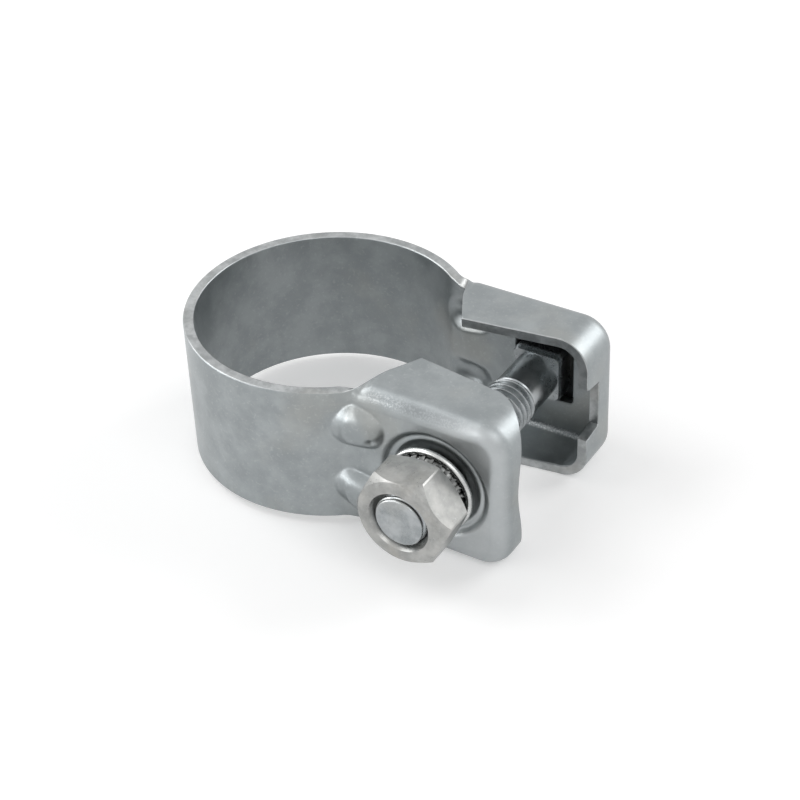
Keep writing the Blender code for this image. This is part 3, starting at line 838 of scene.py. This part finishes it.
def makeBolt():
    bm = bmesh.new()
    profile = []
    rise = bolt["headHeight"] - bolt["headRim"]
    for step in range(bolt["headSteps"] + 1):
        angle = math.pi / 2 * step / bolt["headSteps"]
        profile.append((bolt["headRadius"] * math.sin(angle),
                        bolt["headSeatY"] + bolt["headRim"] + rise * math.cos(angle)))
    profile += [
        (bolt["headRadius"], bolt["headSeatY"] + bolt["rimRound"]),
        (bolt["headRadius"] - bolt["rimRound"], bolt["headSeatY"]),
    ]
    neck = range(len(profile), len(profile) + 3)
    profile += [
        (bolt["neckHalf"], bolt["headSeatY"]),
        (bolt["neckHalf"], bolt["neckEndY"] + bolt["neckLead"]),
        (bolt["neckHalf"] - bolt["neckTaper"], bolt["neckEndY"]),
        (bolt["shank"], bolt["neckEndY"]),
        (bolt["shank"], bolt["threadY"]),
    ]

    def squared(index, radius, y, angle):
        if index in neck:
            radius = roundedSquare(angle, radius, bolt["neckCorner"])
        return radius, y

    spin(bm, profile, thread["sides"], squared)
    length = bolt["threadY"] - bolt["endY"] - bolt["endRound"]
    endRadius = thread["radius"] - bolt["point"]
    rolled = bakeNodes(threadNodes("boltThread"), {
        "Radius": thread["radius"], "Depth": thread["depth"], "Pitch": thread["pitch"],
        "Length": length, "Start Radius": bolt["shank"], "End Radius": endRadius,
        "Fade": bolt["fade"], "Sides": thread["sides"],
        "Turns": math.ceil(length / thread["pitch"]) + 1, "Steps Per Turn": thread["stepsPerTurn"],
        "Finish": zincBolt}, (boltX, bolt["threadY"], 0))
    bm.from_mesh(rolled)
    end = [(endRadius, bolt["endY"] + bolt["endRound"])]
    for step in range(1, bolt["endSteps"] + 1):
        angle = math.pi / 2 * step / bolt["endSteps"]
        end.append((endRadius - bolt["endRound"] * (1 - math.cos(angle)),
                    bolt["endY"] + bolt["endRound"] * (1 - math.sin(angle))))
    end.append((endRadius * 0.5, bolt["endY"] + bolt["endDish"]))
    end.append((0.0, bolt["endY"] + bolt["endDish"]))
    spin(bm, end, thread["sides"], asIs)
    bmesh.ops.remove_doubles(bm, verts=bm.verts, dist=2 * weldGap)
    bmesh.ops.dissolve_degenerate(bm, edges=bm.edges, dist=weldGap / 2)
    for face in bm.faces:
        # Painted shade: the head's underside, in shade behind the square hole, takes a near-black zinc
        fromSeat = abs(face.calc_center_median().y - bolt["headSeatY"])
        face.material_index = int(fromSeat < bolt["underside"])
    finishes = (zincBolt, paintedShadeZinc)
    return finishPiece(
        "carriageBolt", bm, finishes, "clamp", "carriage_bolt", bolt["sharpAngle"])


carriageBolt = makeBolt()
print("carriage bolt made")


# Lock washer: a dished ring with a serrated cone between its rim and the nut

washer = {"bore": 5.25, "contact": 6.6, "radius": 8.6, "backY": -21.6, "rim": 1.3, "rimRound": 0.62,
          "backSteps": 4, "rimSteps": 8, "rimTurn": 150.0, "crown": 6.3, "crownHeight": 1.8,
          "crownDrop": 0.12, "crownOut": 0.15, "crownIn": 0.10, "groove": 0.75, "grooveOut": 1.35,
          "boreOut": 0.2, "boreDrop": 0.32, "seatGap": 0.3, "sides": 156, "sharpAngle": 35}
# A tooth's share is how much of it is left at its inner end or its tip
teeth = {"count": 26, "width": 0.93, "height": 0.55, "lean": 0.30, "innerWidth": 0.62,
         "tipWidth": 0.28, "innerHeight": 0.55, "sunk": 0.25, "fromCrown": 0.5, "fromRim": 1.15,
         "dropLess": 0.1, "rootDrop": 0.25}


def toothNodes():
    table, given = startNodes("teethInPaintedShade", "Teeth", {
        "Count": "Int", "Inner Radius": "Float", "Outer Radius": "Float", "Drop": "Float",
        "Width": "Float", "Height": "Float", "Lean": "Float", "Finish": "Material"})
    box = table.make("GeometryNodeMeshCube", None, {"Size": (1.0, 1.0, 1.0)}, out="Mesh")
    spot = table.make("GeometryNodeInputPosition")
    split = table.make("ShaderNodeSeparateXYZ", None, {0: spot})
    out, aside, rise = [split.side(index) + 0.5 for index in range(3)]
    radial = given("Inner Radius") + (given("Outer Radius") - given("Inner Radius")) * out
    width = given("Width") * (teeth["innerWidth"] + (1 - teeth["innerWidth"]) * out)
    width = width * (1 - (1 - teeth["tipWidth"]) * rise)
    height = rise * (teeth["innerHeight"] + (1 - teeth["innerHeight"]) * out) - teeth["sunk"]
    shaped = table.make("ShaderNodeCombineXYZ", None, {
        "X": radial,
        "Y": (aside - 0.5) * width + given("Lean") * rise,
        "Z": given("Height") * height - given("Drop") * out})
    tooth = table.make("GeometryNodeSetPosition", None, {"Geometry": box, "Position": shaped})
    line = table.make("GeometryNodeMeshLine", None, {
        "Count": given("Count"), "Offset": (0.0, 0.0, 0.0)}, out="Mesh")
    order = table.make("GeometryNodeInputIndex")
    turn = table.make("ShaderNodeCombineXYZ", None, {"Z": order * (2 * math.pi) / given("Count")})
    ringed = table.make("GeometryNodeInstanceOnPoints", None, {
        "Points": line, "Instance": tooth, "Rotation": turn})
    return endNodes(table, ringed, given("Finish"))


def makeWasher():
    bm = bmesh.new()
    faceY = washer["backY"] - washer["rim"]
    crownY = faceY - washer["crownHeight"]
    seated = []
    for radius in (washer["bore"], washer["contact"]):
        seated.append((radius, washerSeat(radius) - earOuterY - washer["seatGap"]))
    rounded = washer["rimRound"]
    profile = list(seated)
    for step in range(washer["backSteps"] + 1):
        angle = math.pi / 2 * step / washer["backSteps"]
        profile.append((washer["radius"] - rounded + rounded * math.sin(angle),
                        washer["backY"] - rounded + rounded * math.cos(angle)))
    for step in range(washer["rimSteps"] + 1):
        angle = math.radians(washer["rimTurn"]) * step / washer["rimSteps"]
        profile.append((washer["radius"] - rounded + rounded * math.cos(angle),
                        faceY + rounded - rounded * math.sin(angle)))
    grooveRadius = washer["radius"] - washer["grooveOut"]
    profile += [
        (grooveRadius, faceY + washer["groove"]),
        (washer["crown"] + washer["crownOut"], crownY + washer["groove"]),
        (washer["crown"] - washer["crownIn"], crownY + washer["crownDrop"]),
        (washer["bore"] + washer["boreOut"], crownY + washer["crownDrop"]),
        (washer["bore"], crownY + washer["boreDrop"]),
        seated[0],
    ]
    spin(bm, profile, washer["sides"], asIs)
    sheared = bakeNodes(toothNodes(), {
        "Count": teeth["count"], "Inner Radius": washer["crown"] - teeth["fromCrown"],
        "Outer Radius": washer["radius"] - teeth["fromRim"],
        "Drop": washer["crownHeight"] - teeth["dropLess"], "Width": teeth["width"],
        "Height": teeth["height"], "Lean": teeth["lean"], "Finish": teethInPaintedShade}, (0, 0, 0))
    # The teeth are drawn about Z with their height upwards, and turn to face the nut
    facing = Matrix.Rotation(math.pi / 2, 4, "X")
    sheared.transform(Matrix.Translation((boltX, crownY + teeth["rootDrop"], 0)) @ facing)
    first = len(bm.faces)
    bm.from_mesh(sheared)
    bm.faces.ensure_lookup_table()
    # Painted shade: the teeth, and the cone inside the groove, take the darkened teeth finish
    for face in bm.faces[first:]:
        face.material_index = 1
    for face in bm.faces[:first]:
        inner = min(Vector((vert.co.x - boltX, vert.co.z)).length for vert in face.verts)
        face.material_index = int(inner < grooveRadius - weldGap)
    finishes = (brightWasher, teethInPaintedShade)
    return finishPiece(
        "lockWasher", bm, finishes, "washer", "lock_washer", washer["sharpAngle"])


lockWasher = makeWasher()
print("lock washer made")


# Hexagon nut, with its own thread

nut = {"half": 8.5, "corner": 9.74, "faceRadius": 8.35, "height": 8.0, "backY": -25.0,
       "flatRadius": 7.45, "flatDrop": 0.22, "faceSlope": 50.0, "backSlope": 30.0, "turned": 5.0,
       "mouth": 6.05, "mouthSlope": 0.62, "sides": 180, "threadTurns": 8, "sharpAngle": 10}


def makeNut():
    bm = bmesh.new()
    faceY = nut["backY"] - nut["height"]
    turned = math.radians(nut["turned"])
    profile = [
        (nut["mouth"], nut["backY"]), (nut["faceRadius"], nut["backY"]), (nut["half"], nut["backY"]),
        (nut["half"], faceY + nut["flatDrop"]), (nut["faceRadius"], faceY + nut["flatDrop"]),
        (nut["flatRadius"], faceY), (nut["mouth"], faceY),
    ]

    def hexagonal(index, radius, y, angle):
        if index in (2, 3):
            turn = (angle - turned) % (math.pi / 3) - math.pi / 6
            radius = min(nut["half"] / math.cos(turn), nut["corner"])
            past = radius - nut["faceRadius"]
            if index == 2:
                y -= past * math.tan(math.radians(nut["backSlope"]))
            else:
                y += past * math.tan(math.radians(nut["faceSlope"]))
        return radius, y

    spin(bm, profile, nut["sides"], hexagonal, turned)
    # The bore's thread is the bolt's own, a little wider, from the same start, so that they mesh
    behind = bolt["threadY"] - nut["backY"]
    skipped = behind % thread["pitch"]
    clear = thread["nutClearance"]
    cut = bakeNodes(threadNodes("nutThread", nut["mouthSlope"]), {
        "Radius": thread["radius"] + clear, "Depth": thread["depth"], "Pitch": thread["pitch"],
        "Length": nut["height"] + skipped,
        "Start Radius": nut["mouth"] + skipped * nut["mouthSlope"],
        "End Radius": nut["mouth"], "Sides": nut["sides"], "Turns": nut["threadTurns"],
        "Steps Per Turn": thread["stepsPerTurn"],
        "Finish": brightNut}, (boltX, nut["backY"] + skipped, 0))
    bm.from_mesh(cut)
    return finishPiece(
        "hexNut", bm, (brightNut,), "nut", "hex_nut", nut["sharpAngle"])


hexNut = makeNut()
print("hex nut made")


# Floor, light and camera

studio = {"floor": (0.86, 0.86, 0.86), "floorLift": 0.27, "plainLevel": 0.44,
          "floorSize": 6.0, "shownLevel": 1.0, "aim": (0.0, 0.0, 0.015)}
lamps = (
    {"name": "keyLamp", "place": (-0.72, -0.08, 0.69), "width": 0.70, "height": 0.60, "power": 3.5},
    {"name": "leftLamp", "place": (-0.66, -0.44, 0.11), "width": 0.46, "height": 0.20, "power": 1.7},
    {"name": "frontLamp", "place": (-0.42, -0.74, 0.40), "width": 0.26, "height": 0.20, "power": 0.8},
    {"name": "rightLamp", "place": (0.46, 0.58, 0.40), "width": 0.40, "height": 0.52, "power": 2.2},
    {"name": "topLamp", "place": (0.48, -0.26, 0.70), "width": 0.50, "height": 0.34, "power": 1.0},
)
# Angles in degrees, distance in millimetres, and the rest but the sensor and clips in pixels
photoView = {"azimuth": -32.948, "elevation": 36.409, "roll": -2.636, "distance": 391.01,
             "focal": 2050.0, "shownX": 331.67, "shownY": 368.98, "imageSize": 800,
             "sensor": 36.0, "nearClip": 0.01, "farClip": 20.0}


def seenPlainly(table):
    camera = table.make("ShaderNodeLightPath", out="Is Camera Ray")
    return camera.most(camera.side("Is Glossy Ray")).most(camera.side("Is Transmission Ray"))


def makeStudio():
    world = bpy.data.worlds.new("studioWorld")
    world.use_nodes = True
    world.node_tree.nodes.clear()
    table = NodeTable(world.node_tree)
    seen = seenPlainly(table)
    level = seen * studio["shownLevel"] + (1 - seen) * studio["plainLevel"]
    sky = table.make("ShaderNodeBackground", None, {"Color": (1.0, 1.0, 1.0), "Strength": level})
    table.make("ShaderNodeOutputWorld", None, {"Surface": sky})
    bpy.context.scene.world = world

    paper = bpy.data.materials.new("whitePaper")
    paper.use_nodes = True
    paper.node_tree.nodes.clear()
    table = NodeTable(paper.node_tree)
    matt = table.make("ShaderNodeBsdfDiffuse", None, {"Color": studio["floor"]})
    lift = table.make("ShaderNodeEmission", None, {
        "Color": (1.0, 1.0, 1.0), "Strength": seenPlainly(table) * studio["floorLift"]})
    both = table.make("ShaderNodeAddShader", None, {0: matt, 1: lift})
    table.make("ShaderNodeOutputMaterial", None, {"Surface": both})
    mesh = bpy.data.meshes.new("floor")
    half = studio["floorSize"] / 2
    mesh.from_pydata([(-half, -half, 0), (half, -half, 0), (half, half, 0), (-half, half, 0)], [],
                     [(0, 1, 2, 3)])
    mesh.materials.append(paper)
    floor = bpy.data.objects.new("floor", mesh)
    bpy.context.collection.objects.link(floor)

    for lamp in lamps:
        light = bpy.data.lights.new(lamp["name"], "AREA")
        light.shape = "RECTANGLE"
        light.size = lamp["width"]
        light.size_y = lamp["height"]
        light.energy = lamp["power"]
        holder = bpy.data.objects.new(lamp["name"], light)
        holder.location = lamp["place"]
        aim = Vector(studio["aim"]) - holder.location
        holder.rotation_euler = aim.to_track_quat("-Z", "Y").to_euler()
        bpy.context.collection.objects.link(holder)


def makeCamera():
    azimuth, elevation, roll = [
        math.radians(photoView[key]) for key in ("azimuth", "elevation", "roll")]
    ahead = Vector((math.sin(azimuth) * math.cos(elevation), math.cos(azimuth) * math.cos(elevation),
                    -math.sin(elevation)))
    level = Vector((math.cos(azimuth), -math.sin(azimuth), 0))
    above = level.cross(ahead)
    right = level * math.cos(roll) + above * math.sin(roll)
    upright = above * math.cos(roll) - level * math.sin(roll)
    middle = photoView["imageSize"] / 2
    scale = photoView["distance"] / photoView["focal"]
    place = -(ahead * photoView["distance"] + right * (photoView["shownX"] - middle) * scale
              + upright * (middle - photoView["shownY"]) * scale)
    data = bpy.data.cameras.new("photoCamera")
    data.sensor_width = photoView["sensor"]
    data.lens = photoView["focal"] * data.sensor_width / photoView["imageSize"]
    data.clip_start = photoView["nearClip"]
    data.clip_end = photoView["farClip"]
    camera = bpy.data.objects.new("photoCamera", data)
    turned = Matrix((right, upright, -ahead)).transposed().to_4x4()
    camera.matrix_world = Matrix.Translation(toRow @ place) @ turned
    bpy.context.collection.objects.link(camera)
    bpy.context.scene.camera = camera


makeStudio()
makeCamera()
bpy.context.scene.view_settings.view_transform = "Standard"
print("studio made")
